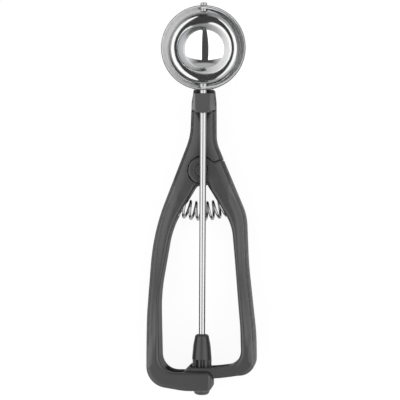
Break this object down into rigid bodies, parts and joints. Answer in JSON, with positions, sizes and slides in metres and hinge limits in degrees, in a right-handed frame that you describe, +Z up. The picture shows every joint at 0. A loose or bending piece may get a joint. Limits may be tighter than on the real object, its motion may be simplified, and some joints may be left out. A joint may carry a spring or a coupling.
{
  "type": "ice cream scoop",
  "caption": "Trigger ice cream scoop: squeezing the sprung handles turns a rod by rack and pinion, and a blade sweeps round the steel bowl.",
  "frame": {"origin": "bottom centre of the bounding box, with the scoop lying on its back", "axes": "+Y from the foot of the handles to the bowl, +Z up out of the bowl's mouth, the moving handle on +X"},
  "size_m": [0.0596, 0.2154, 0.0284],
  "materials": {
    "polished_steel": "polished stainless steel",
    "blade_steel": "satin stainless strip",
    "plain_steel": "plain drawn steel",
    "spring_steel": "bright spring wire",
    "handle_plastic": "fine matt dark grey moulding",
    "soft_grip": "matt dark grey soft moulding",
    "boot_plastic": "matt near-black moulding"
  },
  "bodies": {
    "frame": {"bowl": "polished_steel", "bowl_shank": "polished_steel", "shank_pins": "plain_steel", "tip_rivet": "polished_steel", "frame_handle": "handle_plastic", "frame_grip": "soft_grip", "neck_cover": "handle_plastic", "pivot_pin": "handle_plastic", "pivot_washer": "plain_steel", "pivot_retainer": "plain_steel", "return_spring": "spring_steel", "foot_bush": "boot_plastic", "foot_cap": "handle_plastic"},
    "lever": {"lever_handle": "handle_plastic", "lever_grip": "soft_grip"},
    "sweep": {"drive_rod": "polished_steel", "pinion_boot": "boot_plastic", "boot_pin": "plain_steel", "sweep_blade": "blade_steel", "blade_collar": "plain_steel"}
  },
  "joints": [
    {"name": "lever_squeeze", "type": "hinge", "parent": "frame", "child": "lever", "pos_m": [-0.00127, 0.01579, 0.01883], "axis": [0, 0.0658, -0.9978], "range_deg": [0, 4.9], "stiffness_Nm_per_rad": 1.6, "springref_deg": -22.92, "deforming": ["return_spring"]},
    {"name": "rod_turn", "type": "hinge", "parent": "frame", "child": "sweep", "pos_m": [-0.00006, 0.01579, 0.01883], "axis": [0, 0.9978, 0.0658], "range_deg": [0, 140]}
  ],
  "couplings": [
    {"joint": "rod_turn", "follows": "lever_squeeze", "ratio": 28.571}
  ]
}
